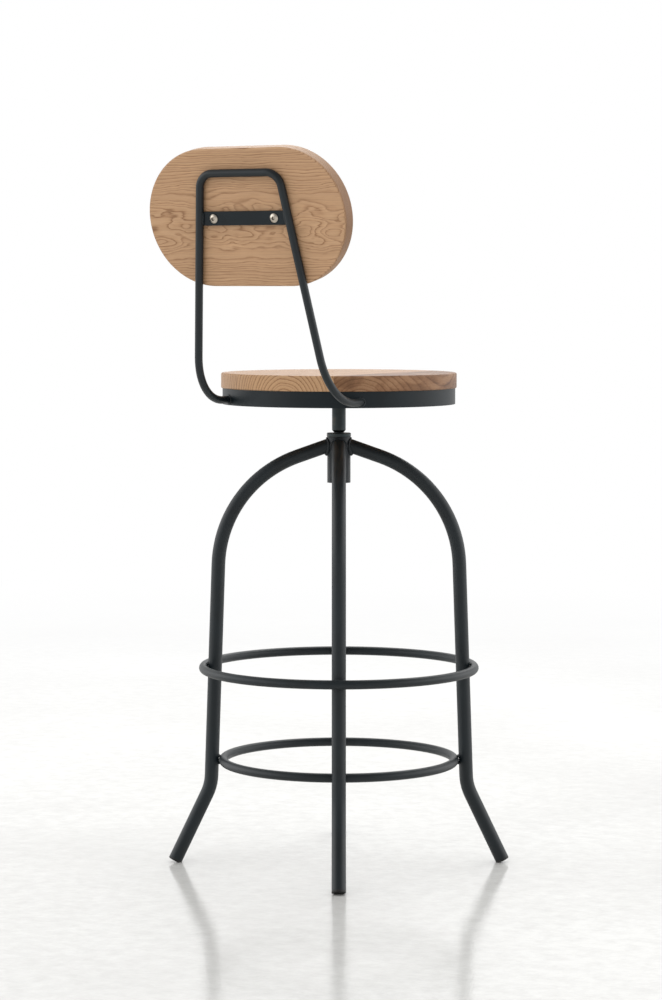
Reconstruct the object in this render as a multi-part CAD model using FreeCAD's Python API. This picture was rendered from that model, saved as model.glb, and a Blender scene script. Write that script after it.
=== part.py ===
import FreeCAD, Part
import math
import os

from FreeCAD import Placement, Rotation, Vector

# Screw-lift bar stool, in millimetres and degrees.
# The origin is on the floor, on the axis that the seat turns about. +Z is up.
# The sitter faces -Y, so the backrest is on the +Y side. The seat is at its lowest.

# Hub and nuts
HUB_TOP_HEIGHT = 621.5
HUB_LENGTH = 66.0
HUB_DIAMETER = 33.7
HUB_BORE = 26.0
UPPER_NUT_LENGTH = 24.0
LOWER_NUT_LENGTH = 18.0
NUT_THREAD_TURNS = 2.0
NUT_FLANGE_DIAMETER = 35.0
NUT_FLANGE_THICKNESS = 6.0
NUT_FLANGE_CHAMFER = 0.8

# Spindle
SPINDLE_DIAMETER = 20.0
SHANK_LENGTH = 59.6
SHANK_CHAMFER_HEIGHT = 3.5
NECK_DIAMETER = 14.0
NECK_LENGTH = 6.0
THREAD_PITCH = 5.75
THREAD_ROOT_DIAMETER = 15.0
THREAD_CREST_WIDTH = 2.0
THREAD_ROOT_WIDTH = 3.4
RIDGE_SINK = 0.5
LIFT_TURNS = 26.75

# Stop at the spindle's lower end
STOP_WASHER_DIAMETER = 19.4
STOP_WASHER_THICKNESS = 3.0
STOP_SCREW_DIAMETER = 8.0
STOP_SCREW_LENGTH = 18.0
STOP_SCREW_HEAD_DIAMETER = 13.0
STOP_SCREW_HEAD_HEIGHT = 5.0
STOP_SCREW_SOCKET = 5.0
STOP_SCREW_SOCKET_DEPTH = 3.0
HEX_SIDES = 6

# Legs and feet
LEG_COUNT = 4
LEG_TURN = 29.4
LEG_DIAMETER = 20.0
LEG_WALL = 1.5
LEG_ROOT_DROP = 7.0
LEG_ROOT_SLOPE = 19.5
LEG_SHOULDER_BEND = 172.0
LEG_LEAN = 2.0
ANKLE_RADIUS = 186.0
ANKLE_HEIGHT = 114.0
ANKLE_BEND = 70.0
FOOT_SPLAY = 25.5
FOOT_CAP_THICKNESS = 3.0
FOOT_CAP_INSERT_LENGTH = 14.0
FOOT_FLAT_DEPTH = 1.2

# Rings
RING_DIAMETER = 13.0
BRACE_ABOVE_ANKLE = 37.3
FOOTREST_ABOVE_BRACE = 135.3

# Hoop, bars and seat
HOOP_DIAMETER = 336.0
HOOP_HEIGHT = 23.0
HOOP_THICKNESS = 3.0
BAR_WIDTH = 30.0
BAR_THICKNESS = 5.0
SEAT_OVERHANG = 2.0
SEAT_THICKNESS = 22.0
SEAT_TOP_ROUND = 2.5
SEAT_BOTTOM_ROUND = 1.5
SEAT_SCREW_RADIUS = 90.0
SEAT_SCREW_DIAMETER = 5.0
SEAT_SCREW_DEPTH = 14.0
SEAT_SCREW_HEAD_DIAMETER = 9.0
SEAT_SCREW_HEAD_HEIGHT = 3.0

# Back frame
BACK_ROD_DIAMETER = 11.0
ARM_HALF_SPACING = 106.4
ARM_ABOVE_HOOP_EDGE = 2.5
ELBOW_BEHIND_HOOP = 44.0
ELBOW_BEND = 80.0
UPRIGHT_RISE = 314.5
TOP_HALF_SPACING = 62.0
TOP_BEND = 22.0
RECLINE = 11.7
CROSSBAR_BELOW_TOP = 62.6
CROSSBAR_HEIGHT = 19.0
CROSSBAR_THICKNESS = 5.0

# Backrest and its fasteners
BACKREST_WIDTH = 312.0
BACKREST_HEIGHT = 191.0
BACKREST_THICKNESS = 22.0
BACKREST_ROUND = 2.5
BACK_SCREW_SPACING = 96.0
BACK_SCREW_DIAMETER = 6.0
BACK_SCREW_HEAD_DIAMETER = 12.5
BACK_SCREW_HEAD_HEIGHT = 3.2
BACK_SCREW_HEAD_RIM = 1.0
BACK_SCREW_SOCKET = 5.0
BACK_SCREW_SOCKET_DEPTH = 2.2
INSERT_DIAMETER = 9.0
INSERT_LENGTH = 14.0
INSERT_HOLE_SPARE = 1.5

# Fits: radial gaps of screws, plugs and nuts, thread play, relief of the nuts, end gaps and weld gaps
PRESS_GAP = 0.05
SCREW_GAP = 0.25
THREAD_PLAY = 0.3
NUT_RELIEF_GAP = 0.8
WASHER_PLAY = 0.1
SHOULDER_GAP = 0.6
STOP_GAP = 0.5
WELD_GAP = 0.1

# Heights and radii that follow from the sizes above
LIFT = LIFT_TURNS * THREAD_PITCH
hub_bottom = HUB_TOP_HEIGHT - HUB_LENGTH
nut_top = HUB_TOP_HEIGHT + NUT_FLANGE_THICKNESS
shank_bottom = nut_top + SHOULDER_GAP
bar_bottom = shank_bottom + SHANK_LENGTH
seat_bottom = bar_bottom + BAR_THICKNESS
seat_top = seat_bottom + SEAT_THICKNESS
hoop_bottom = seat_bottom - HOOP_HEIGHT
thread_top = shank_bottom - NECK_LENGTH
thread_bottom = hub_bottom - LIFT - STOP_GAP
hoop_radius = HOOP_DIAMETER / 2
hoop_inner_radius = hoop_radius - HOOP_THICKNESS
arm_height = hoop_bottom + BACK_ROD_DIAMETER / 2 + ARM_ABOVE_HOOP_EDGE
elbow_back = hoop_radius + ELBOW_BEHIND_HOOP
frame_top_height = arm_height + UPRIGHT_RISE
recline = math.radians(RECLINE)
frame_top_back = elbow_back + UPRIGHT_RISE * math.tan(recline)

UP = Vector(0, 0, 1)
CENTRE = Vector(0, 0, 0)


def disc(radius, low, high, x=0.0, y=0.0):
    """Upright cylinder between two heights."""
    return Part.makeCylinder(radius, high - low, Vector(x, y, low))


def pipe(outer_radius, inner_radius, low, high):
    """Upright hollow cylinder between two heights."""
    return disc(outer_radius, low, high).cut(disc(inner_radius, low, high))


def hexagon(across_flats, low, high, x=0.0, y=0.0):
    """Upright hexagonal prism, as a hex key fills."""
    corner = across_flats / math.sqrt(3)
    points = []
    for step in range(HEX_SIDES + 1):
        turn = math.tau * step / HEX_SIDES
        points.append(Vector(x + corner * math.cos(turn), y + corner * math.sin(turn), low))
    return Part.Face(Part.makePolygon(points)).extrude(Vector(0, 0, high - low))


def turned(solid, degrees):
    """Copy of a solid, turned about the stool's axis."""
    copy = solid.copy()
    copy.rotate(CENTRE, UP, degrees)
    return copy


def bent_path(corners, bends):
    """Straight runs through the corners, joined by tangent arcs of the given radii."""
    edges = []
    start = corners[0]
    for before, corner, after, bend in zip(corners, corners[1:], corners[2:], bends):
        into = (corner - before).normalize()
        away = (after - corner).normalize()
        turn = into.getAngle(away)
        reach = bend * math.tan(turn / 2)
        arc_start = corner - into * reach
        arc_end = corner + away * reach
        towards_centre = (away - into).normalize()
        arc_middle = corner + towards_centre * (bend / math.cos(turn / 2) - bend)
        edges.append(Part.LineSegment(start, arc_start).toShape())
        edges.append(Part.Arc(arc_start, arc_middle, arc_end).toShape())
        start = arc_end
    edges.append(Part.LineSegment(start, corners[-1]).toShape())
    return Part.Wire(edges)


def rod_along(path, radius):
    """Round bar that follows a path."""
    first = path.Edges[0]
    start = first.valueAt(first.FirstParameter)
    heading = first.tangentAt(first.FirstParameter)
    section = Part.Wire(Part.makeCircle(radius, start, heading))
    return path.makePipeShell([section], True, False)


def thread_ridge(low, high, play):
    """Helical ridge of the screw thread, grown by a play on every side.

    Every ridge passes angle zero at the spindle's lower thread end plus whole
    pitches, so the spindle and its nuts are in step.
    """
    depth = (SPINDLE_DIAMETER - THREAD_ROOT_DIAMETER) / 2
    flank = (THREAD_ROOT_WIDTH - THREAD_CREST_WIDTH) / 2 / depth
    root_radius = THREAD_ROOT_DIAMETER / 2 + play - RIDGE_SINK
    crest_radius = SPINDLE_DIAMETER / 2 + play
    root_half = THREAD_ROOT_WIDTH / 2 + flank * RIDGE_SINK + play
    crest_half = THREAD_CREST_WIDTH / 2 + play
    turns_up = math.floor((low - thread_bottom) / THREAD_PITCH) - 1
    start = thread_bottom + turns_up * THREAD_PITCH
    turns = math.ceil((high - start) / THREAD_PITCH) + 1
    helix = Part.makeHelix(THREAD_PITCH, turns * THREAD_PITCH, root_radius)
    section = Part.makePolygon([
        Vector(root_radius, 0, -root_half),
        Vector(crest_radius, 0, -crest_half),
        Vector(crest_radius, 0, crest_half),
        Vector(root_radius, 0, root_half),
        Vector(root_radius, 0, -root_half),
    ])
    ridge = Part.Wire(helix).makePipeShell([section], True, True)
    ridge.translate(Vector(0, 0, start))
    return ridge


def tapped(blank, low, high):
    """Nut blank with a threaded hole between two heights."""
    core = disc(THREAD_ROOT_DIAMETER / 2 + THREAD_PLAY, low - THREAD_PITCH, high + THREAD_PITCH)
    tap = core.fuse(thread_ridge(low, high, THREAD_PLAY))
    return blank.cut(tap).Solids[0]


def relieved(nut, low, high):
    """Nut bored clear of the screw between two heights, so that only its outer end is threaded."""
    return nut.cut(disc(SPINDLE_DIAMETER / 2 + NUT_RELIEF_GAP, low, high)).Solids[0]


def make_hub_sleeve():
    return pipe(HUB_DIAMETER / 2, HUB_BORE / 2, hub_bottom, HUB_TOP_HEIGHT)


def make_upper_nut():
    body_bottom = HUB_TOP_HEIGHT - UPPER_NUT_LENGTH
    body = disc(HUB_BORE / 2 - PRESS_GAP, body_bottom, HUB_TOP_HEIGHT)
    flange = disc(NUT_FLANGE_DIAMETER / 2, HUB_TOP_HEIGHT, nut_top)
    rim = [edge for edge in flange.Edges if edge.isClosed()]
    flange = flange.makeChamfer(NUT_FLANGE_CHAMFER, rim)
    thread_low = nut_top - NUT_THREAD_TURNS * THREAD_PITCH
    threaded = tapped(body.fuse(flange).removeSplitter(), thread_low, nut_top)
    return relieved(threaded, body_bottom, thread_low)


def make_lower_nut():
    body_top = hub_bottom + LOWER_NUT_LENGTH
    thread_high = hub_bottom + NUT_THREAD_TURNS * THREAD_PITCH
    threaded = tapped(disc(HUB_BORE / 2 - PRESS_GAP, hub_bottom, body_top), hub_bottom, thread_high)
    return relieved(threaded, thread_high, body_top)


def make_spindle():
    """Shank, chamfer and neck turned from one bar, with the thread below and a blind screw hole."""
    shank_radius = SPINDLE_DIAMETER / 2
    neck_radius = NECK_DIAMETER / 2
    root_radius = THREAD_ROOT_DIAMETER / 2
    profile = Part.makePolygon([
        Vector(0, 0, thread_bottom),
        Vector(root_radius, 0, thread_bottom),
        Vector(root_radius, 0, thread_top),
        Vector(neck_radius, 0, thread_top),
        Vector(neck_radius, 0, shank_bottom),
        Vector(shank_radius, 0, shank_bottom + SHANK_CHAMFER_HEIGHT),
        Vector(shank_radius, 0, bar_bottom),
        Vector(0, 0, bar_bottom),
        Vector(0, 0, thread_bottom),
    ])
    bar = Part.Face(profile).revolve(CENTRE, UP, 360)
    ridge = thread_ridge(thread_bottom, thread_top, 0.0)
    ridge = ridge.common(disc(SPINDLE_DIAMETER, thread_bottom, thread_top))
    hole_radius = STOP_SCREW_DIAMETER / 2 + PRESS_GAP
    hole = disc(hole_radius, thread_bottom, thread_bottom + STOP_SCREW_LENGTH)
    return bar.fuse(ridge).cut(hole).Solids[0]


def make_stop_washer():
    top = thread_bottom - WASHER_PLAY
    hole_radius = STOP_SCREW_DIAMETER / 2 + SCREW_GAP
    return pipe(STOP_WASHER_DIAMETER / 2, hole_radius, top - STOP_WASHER_THICKNESS, top)


def make_stop_screw():
    head_top = thread_bottom - STOP_WASHER_THICKNESS - 2 * WASHER_PLAY
    head_bottom = head_top - STOP_SCREW_HEAD_HEIGHT
    head = disc(STOP_SCREW_HEAD_DIAMETER / 2, head_bottom, head_top)
    shank_top = thread_bottom + STOP_SCREW_LENGTH - SCREW_GAP
    shank = disc(STOP_SCREW_DIAMETER / 2, head_top, shank_top)
    socket = hexagon(STOP_SCREW_SOCKET, head_bottom, head_bottom + STOP_SCREW_SOCKET_DEPTH)
    return head.fuse(shank).removeSplitter().cut(socket)


def leg_corners():
    """Corners of a leg's centre line in the XZ plane: root, shoulder, ankle and foot end."""
    slope = math.radians(LEG_ROOT_SLOPE)
    lean = math.radians(LEG_LEAN)
    splay = math.radians(FOOT_SPLAY)
    root = Vector(0, 0, HUB_TOP_HEIGHT - LEG_ROOT_DROP)
    ankle = Vector(ANKLE_RADIUS, 0, ANKLE_HEIGHT)
    drop = root.z - ankle.z - ankle.x * math.tan(slope)
    shin = drop / (math.cos(lean) - math.sin(lean) * math.tan(slope))
    shoulder = ankle + Vector(-math.sin(lean), 0, math.cos(lean)) * shin
    end_height = LEG_DIAMETER / 2 * math.sin(splay) - FOOT_FLAT_DEPTH
    foot_length = (ANKLE_HEIGHT - end_height) / math.cos(splay)
    foot_end = ankle + Vector(math.sin(splay), 0, -math.cos(splay)) * foot_length
    return root, shoulder, ankle, foot_end


def make_leg():
    """Bent tube along +X, coped to the hub sleeve and cut square for its foot cap."""
    root, shoulder, ankle, foot_end = leg_corners()
    foot_axis = (foot_end - ankle).normalize()
    tube_end = foot_end - foot_axis * FOOT_CAP_THICKNESS
    path = bent_path([root, shoulder, ankle, tube_end], [LEG_SHOULDER_BEND, ANKLE_BEND])
    outer = rod_along(path, LEG_DIAMETER / 2)
    bore = rod_along(path, LEG_DIAMETER / 2 - LEG_WALL)
    hub = disc(HUB_DIAMETER / 2 + WELD_GAP, hub_bottom - LEG_DIAMETER, nut_top + LEG_DIAMETER)
    return outer.cut(bore).cut(hub).Solids[0]


def make_foot_cap():
    """Plug for a leg's end. Its lowest edge is cut flat by the floor."""
    ankle, foot_end = leg_corners()[2:]
    up_the_leg = (ankle - foot_end).normalize()
    seat_of_tube = foot_end + up_the_leg * FOOT_CAP_THICKNESS
    head = Part.makeCylinder(LEG_DIAMETER / 2, FOOT_CAP_THICKNESS, foot_end, up_the_leg)
    insert_radius = LEG_DIAMETER / 2 - LEG_WALL - PRESS_GAP
    insert = Part.makeCylinder(insert_radius, FOOT_CAP_INSERT_LENGTH, seat_of_tube, up_the_leg)
    below_floor = Part.makeBox(2 * LEG_DIAMETER, 2 * LEG_DIAMETER, LEG_DIAMETER)
    below_floor.translate(Vector(foot_end.x - LEG_DIAMETER, -LEG_DIAMETER, -LEG_DIAMETER))
    return head.fuse(insert).removeSplitter().cut(below_floor)


def make_ring(height, side):
    """Round bar ring against the legs: side is 1 outside them and -1 inside them."""
    lean = math.radians(LEG_LEAN)
    leg_radius = ANKLE_RADIUS - (height - ANKLE_HEIGHT) * math.tan(lean)
    stand_off = (LEG_DIAMETER / 2 + RING_DIAMETER / 2 + WELD_GAP) / math.cos(lean)
    return Part.makeTorus(leg_radius + side * stand_off, RING_DIAMETER / 2, Vector(0, 0, height))


def make_seat_hoop():
    return pipe(hoop_radius, hoop_inner_radius, hoop_bottom, seat_bottom)


def seat_screw_places():
    """Two screws on the long bar, then one on each short bar."""
    return [(SEAT_SCREW_RADIUS, 0), (-SEAT_SCREW_RADIUS, 0), (0, SEAT_SCREW_RADIUS), (0, -SEAT_SCREW_RADIUS)]


def with_screw_holes(bar):
    hole_radius = SEAT_SCREW_DIAMETER / 2 + SCREW_GAP
    for x, y in seat_screw_places():
        bar = bar.cut(disc(hole_radius, bar_bottom, seat_bottom, x, y))
    return bar


def make_seat_bar_long():
    bar = Part.makeBox(HOOP_DIAMETER, BAR_WIDTH, BAR_THICKNESS)
    bar.translate(Vector(-hoop_radius, -BAR_WIDTH / 2, bar_bottom))
    inside = disc(hoop_inner_radius - WELD_GAP, bar_bottom, seat_bottom)
    return with_screw_holes(bar.common(inside))


def make_seat_bar_short():
    """Short bar from the long bar's edge to the hoop, on the +Y side."""
    start = BAR_WIDTH / 2 + WELD_GAP
    bar = Part.makeBox(BAR_WIDTH, hoop_radius - start, BAR_THICKNESS)
    bar.translate(Vector(-BAR_WIDTH / 2, start, bar_bottom))
    inside = disc(hoop_inner_radius - WELD_GAP, bar_bottom, seat_bottom)
    return with_screw_holes(bar.common(inside))


def make_seat_panel():
    panel = disc(hoop_radius + SEAT_OVERHANG, seat_bottom, seat_top)
    middle = (seat_bottom + seat_top) / 2
    top_rim = [edge for edge in panel.Edges if edge.BoundBox.ZMin > middle]
    panel = panel.makeFillet(SEAT_TOP_ROUND, top_rim)
    bottom_rim = [edge for edge in panel.Edges if edge.BoundBox.ZMax < middle]
    panel = panel.makeFillet(SEAT_BOTTOM_ROUND, bottom_rim)
    for x, y in seat_screw_places():
        pilot_top = seat_bottom + SEAT_SCREW_DEPTH + SCREW_GAP
        panel = panel.cut(disc(SEAT_SCREW_DIAMETER / 2 + PRESS_GAP, seat_bottom, pilot_top, x, y))
    return panel


def make_seat_screws():
    screws = []
    for x, y in seat_screw_places():
        head_bottom = bar_bottom - SEAT_SCREW_HEAD_HEIGHT
        head = disc(SEAT_SCREW_HEAD_DIAMETER / 2, head_bottom, bar_bottom, x, y)
        shank = disc(SEAT_SCREW_DIAMETER / 2, bar_bottom, seat_bottom + SEAT_SCREW_DEPTH, x, y)
        screws.append(head.fuse(shank).removeSplitter())
    return Part.makeCompound(screws)


def make_back_frame():
    """Bent rod, from one arm over the top bar to the other, coped to the hoop."""
    right = [
        Vector(ARM_HALF_SPACING, 0, arm_height),
        Vector(ARM_HALF_SPACING, elbow_back, arm_height),
        Vector(TOP_HALF_SPACING, frame_top_back, frame_top_height),
    ]
    left = [Vector(-point.x, point.y, point.z) for point in reversed(right)]
    path = bent_path(right + left, [ELBOW_BEND, TOP_BEND, TOP_BEND, ELBOW_BEND])
    hoop = disc(hoop_radius + WELD_GAP, hoop_bottom - HOOP_HEIGHT, seat_top)
    return rod_along(path, BACK_ROD_DIAMETER / 2).cut(hoop).Solids[0]


def frame_placement():
    """Local X is across, local Y is up the reclined frame and local Z is towards the sitter.

    The origin is the crossbar's middle, in the plane of the uprights' centre lines.
    """
    back = frame_top_back - CROSSBAR_BELOW_TOP * math.sin(recline)
    height = frame_top_height - CROSSBAR_BELOW_TOP * math.cos(recline)
    return Placement(Vector(0, back, height), Rotation(Vector(1, 0, 0), 90 - RECLINE))


def in_frame(solid):
    """Copy of a solid, moved from the reclined frame's own axes to the stool's."""
    copy = solid.copy()
    copy.Placement = frame_placement().multiply(copy.Placement)
    return copy


backrest_back = BACK_ROD_DIAMETER / 2 + WELD_GAP
backrest_front = backrest_back + BACKREST_THICKNESS
crossbar_back = backrest_back - CROSSBAR_THICKNESS
back_screw_places = [-BACK_SCREW_SPACING / 2, BACK_SCREW_SPACING / 2]


def upright_half_spacing(up):
    """Half the distance between the uprights' centre lines, at a height in the frame's own axes."""
    share = (CROSSBAR_BELOW_TOP - up) / (UPRIGHT_RISE / math.cos(recline))
    return TOP_HALF_SPACING + (ARM_HALF_SPACING - TOP_HALF_SPACING) * share


def make_back_crossbar():
    """Flat bar cut to fit between the converging uprights."""
    half_height = CROSSBAR_HEIGHT / 2
    narrowing = upright_half_spacing(-half_height) - upright_half_spacing(half_height)
    converge = math.atan2(narrowing, CROSSBAR_HEIGHT)
    inset = (BACK_ROD_DIAMETER / 2 + WELD_GAP) / math.cos(converge)
    wide = upright_half_spacing(-half_height) - inset
    narrow = upright_half_spacing(half_height) - inset
    corners = [
        Vector(-wide, -half_height, crossbar_back),
        Vector(wide, -half_height, crossbar_back),
        Vector(narrow, half_height, crossbar_back),
        Vector(-narrow, half_height, crossbar_back),
    ]
    face = Part.Face(Part.makePolygon(corners + corners[:1]))
    bar = face.extrude(Vector(0, 0, CROSSBAR_THICKNESS))
    for x in back_screw_places:
        bar = bar.cut(disc(BACK_SCREW_DIAMETER / 2 + SCREW_GAP, crossbar_back, backrest_back, x))
    return in_frame(bar)


def make_backrest():
    """Board with half-round ends, rounded edges and two blind holes for the inserts."""
    end_radius = BACKREST_HEIGHT / 2
    straight = BACKREST_WIDTH / 2 - end_radius
    corners = [
        Vector(straight, end_radius, backrest_back),
        Vector(-straight, end_radius, backrest_back),
        Vector(-straight, -end_radius, backrest_back),
        Vector(straight, -end_radius, backrest_back),
    ]
    left_end = Vector(-straight - end_radius, 0, backrest_back)
    right_end = Vector(straight + end_radius, 0, backrest_back)
    outline = Part.Wire([
        Part.LineSegment(corners[0], corners[1]).toShape(),
        Part.Arc(corners[1], left_end, corners[2]).toShape(),
        Part.LineSegment(corners[2], corners[3]).toShape(),
        Part.Arc(corners[3], right_end, corners[0]).toShape(),
    ])
    board = Part.Face(outline).extrude(Vector(0, 0, BACKREST_THICKNESS))
    rims = [edge for edge in board.Edges if edge.BoundBox.ZLength < PRESS_GAP]
    board = board.makeFillet(BACKREST_ROUND, rims)
    hole_front = backrest_back + INSERT_LENGTH + INSERT_HOLE_SPARE
    for x in back_screw_places:
        board = board.cut(disc(INSERT_DIAMETER / 2 + PRESS_GAP, backrest_back, hole_front, x))
    return in_frame(board)


def make_backrest_inserts():
    inserts = []
    for x in back_screw_places:
        sleeve = disc(INSERT_DIAMETER / 2, backrest_back, backrest_back + INSERT_LENGTH, x)
        hole = disc(BACK_SCREW_DIAMETER / 2 + PRESS_GAP, backrest_back, backrest_back + INSERT_LENGTH, x)
        inserts.append(sleeve.cut(hole))
    return in_frame(Part.makeCompound(inserts))


def make_backrest_screws():
    """Button-head screws: a flat rim, a low dome with a hex socket, and a plain shank."""
    screws = []
    head_radius = BACK_SCREW_HEAD_DIAMETER / 2
    dome_height = BACK_SCREW_HEAD_HEIGHT - BACK_SCREW_HEAD_RIM
    dome_radius = (head_radius ** 2 + dome_height ** 2) / (2 * dome_height)
    head_top = crossbar_back - BACK_SCREW_HEAD_HEIGHT
    for x in back_screw_places:
        blank = disc(head_radius, head_top, crossbar_back, x)
        ball = Part.makeSphere(dome_radius, Vector(x, 0, head_top + dome_radius))
        socket = hexagon(BACK_SCREW_SOCKET, head_top, head_top + BACK_SCREW_SOCKET_DEPTH, x)
        shank = disc(BACK_SCREW_DIAMETER / 2, crossbar_back, backrest_back + INSERT_LENGTH, x)
        screws.append(blank.common(ball).cut(socket).fuse(shank).removeSplitter())
    return in_frame(Part.makeCompound(screws))


def make_nodes():
    """Every piece of the stool, by name."""
    brace_height = ANKLE_HEIGHT + BRACE_ABOVE_ANKLE
    nodes = {
        "hub_sleeve": make_hub_sleeve(),
        "upper_nut": make_upper_nut(),
        "lower_nut": make_lower_nut(),
        "footrest_ring": make_ring(brace_height + FOOTREST_ABOVE_BRACE, 1),
        "brace_ring": make_ring(brace_height, -1),
        "spindle": make_spindle(),
        "stop_washer": make_stop_washer(),
        "stop_screw": make_stop_screw(),
        "seat_hoop": make_seat_hoop(),
        "seat_bar_long": make_seat_bar_long(),
        "seat_panel": make_seat_panel(),
        "seat_screws": make_seat_screws(),
        "back_frame": make_back_frame(),
        "back_crossbar": make_back_crossbar(),
        "backrest": make_backrest(),
        "backrest_inserts": make_backrest_inserts(),
        "backrest_screws": make_backrest_screws(),
    }
    leg = make_leg()
    foot_cap = make_foot_cap()
    for index in range(LEG_COUNT):
        turn = LEG_TURN + index * 360 / LEG_COUNT
        nodes[f"leg_{index + 1}"] = turned(leg, turn)
        nodes[f"foot_cap_{index + 1}"] = turned(foot_cap, turn)
    short_bar = make_seat_bar_short()
    nodes["seat_bar_short_1"] = short_bar
    nodes["seat_bar_short_2"] = turned(short_bar, 180)
    return nodes


def main():
    os.makedirs("parts", exist_ok=True)
    for name, shape in make_nodes().items():
        shape.exportStep(f"parts/{name}.step")
        box = shape.BoundBox
        print(f"{name}: {len(shape.Solids)} solids, valid {shape.isValid()}, {shape.Volume:.0f} mm3, "
              f"z {box.ZMin:.1f} to {box.ZMax:.1f}")
    print(f"seat height {seat_top:.1f} to {seat_top + LIFT:.1f}, lift {LIFT:.2f} in {LIFT_TURNS} turns")


main()
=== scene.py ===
# %% [markdown]
# Bar stool with a screw lift
#
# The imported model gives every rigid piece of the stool: legs, rings, hub, screw, hoop, back frame and
# boards. This lesson dresses those pieces. It adds the welds that hold the steel together, gives each
# piece a material that follows the real one, and sets up a studio with the camera of the photograph.
# Everything is in metres. The origin is on the floor, under the screw, and the backrest is on the +Y
# side.

import math

import bmesh
import bpy
from mathutils import Matrix, Vector


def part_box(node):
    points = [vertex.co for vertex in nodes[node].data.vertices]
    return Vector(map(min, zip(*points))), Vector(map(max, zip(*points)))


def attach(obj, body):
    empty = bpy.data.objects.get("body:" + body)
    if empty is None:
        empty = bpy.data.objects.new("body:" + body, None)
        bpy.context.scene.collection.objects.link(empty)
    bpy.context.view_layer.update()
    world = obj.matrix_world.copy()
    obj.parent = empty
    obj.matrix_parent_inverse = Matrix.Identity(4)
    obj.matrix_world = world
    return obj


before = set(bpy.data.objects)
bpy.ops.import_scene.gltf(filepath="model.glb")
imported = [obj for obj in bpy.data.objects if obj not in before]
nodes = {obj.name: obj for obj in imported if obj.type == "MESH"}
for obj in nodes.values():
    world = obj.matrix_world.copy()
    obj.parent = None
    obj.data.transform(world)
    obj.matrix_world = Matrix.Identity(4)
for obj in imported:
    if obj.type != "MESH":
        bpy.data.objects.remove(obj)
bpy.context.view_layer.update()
MM = 0.001
print("pieces from the packed model:", len(nodes))

# %% [markdown]
# The camera
#
# A stool this tall is photographed from a distance with a long lens, so that the legs stay parallel. The
# viewpoint was found by fitting the rings, the feet and the seat in the photograph: the camera stands
# behind the stool, to the right of its back, a little above the seat and tipped down by a few degrees. A
# camera with exact numbers is simpler here than a tracking constraint, because the aim is known.

# %% Camera
CAMERA_TURN = math.radians(29.4)
CAMERA_DISTANCE = 4.333
CAMERA_HEIGHT = 0.841
CAMERA_TILT_DOWN = math.radians(4.106)
CAMERA_YAW = 0.00263
LENS_MM = 108.0
SENSOR_MM = 36.0

camera_data = bpy.data.cameras.new("camera")
camera_data.lens = LENS_MM
camera_data.sensor_width = SENSOR_MM
camera = bpy.data.objects.new("camera", camera_data)
bpy.context.scene.collection.objects.link(camera)
camera.location = (
    -math.sin(CAMERA_TURN) * CAMERA_DISTANCE,
    math.cos(CAMERA_TURN) * CAMERA_DISTANCE,
    CAMERA_HEIGHT,
)
camera.rotation_euler = (math.pi / 2 - CAMERA_TILT_DOWN, 0, math.pi + CAMERA_TURN + CAMERA_YAW)
bpy.context.scene.camera = camera
bpy.context.scene.view_settings.view_transform = "Standard"
print("camera at", [round(value, 3) for value in camera.location])

# %% [markdown]
# Helpers for materials
#
# Colours are written as sRGB hex values, as a colour picker shows them, and Blender calculates in linear
# light, so one function converts them. Another adds a node, sets its values and links it in one line,
# which keeps a long node tree readable. Values and links are named by the socket's name, or by its number
# where names repeat.

# %% Colour and node helpers
def colour(code):
    """Linear RGBA from an sRGB hex code."""
    channels = [int(code[start:start + 2], 16) / 255 for start in (1, 3, 5)]
    linear = [c / 12.92 if c <= 0.04045 else ((c + 0.055) / 1.055) ** 2.4 for c in channels]
    return (*linear, 1.0)


WHITE = colour("#ffffff")


def add(tree, kind, values=None, links=None):
    """New node with its settings and socket values, linked from other nodes or sockets."""
    node = tree.nodes.new(kind)
    for key, value in (values or {}).items():
        if isinstance(key, str) and hasattr(node, key):
            setattr(node, key, value)
        else:
            node.inputs[key].default_value = value
    for key, source in (links or {}).items():
        socket = source.outputs[0] if isinstance(source, bpy.types.Node) else source
        tree.links.new(socket, node.inputs[key])
    return node


def new_material(name):
    """Empty node material, its tree and its output node."""
    material = bpy.data.materials.new(name)
    material.use_nodes = True
    material.node_tree.nodes.clear()
    output = add(material.node_tree, "ShaderNodeOutputMaterial")
    return material, material.node_tree, output


def set_stops(ramp_node, stops):
    """Puts hex colours at places along a colour ramp."""
    ramp = ramp_node.color_ramp
    while len(ramp.elements) < len(stops):
        ramp.elements.new(0.5)
    for element, (place, code) in zip(ramp.elements, stops):
        element.position = place
        element.color = colour(code)


print("helpers ready")

# %% [markdown]
# Powder-coated steel
#
# The legs, rings, hub, hoop and back frame are mild steel with a baked powder coat, black with a trace of
# blue-green. The powder melts into a skin with a faint orange-peel waviness, so highlights are soft and
# slightly broken. Real orange peel is about 1.5 mm wide. It is drawn at 3 mm here, since one pixel of the
# picture is 1.4 mm. Faces that look up hold a little dust. That depends on the face's own direction, not
# on the viewer. The drawn tubes are smooth under the coat and shine more. The rolled flat bars are
# rougher and look duller, so one function makes both coats.

# %% Powder-coated steel
PEEL_WIDTH = 3 * MM
PEEL_DEPTH = 0.3 * MM
COAT_CLOUD_WIDTH = 45 * MM
COAT_TONES = [(0.3, "#0c1418"), (0.7, "#131d22")]
DUST_TONE = "#5d6160"
TUBE_GLOSS = 0.4
FLAT_BAR_GLOSS = 0.26


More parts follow.
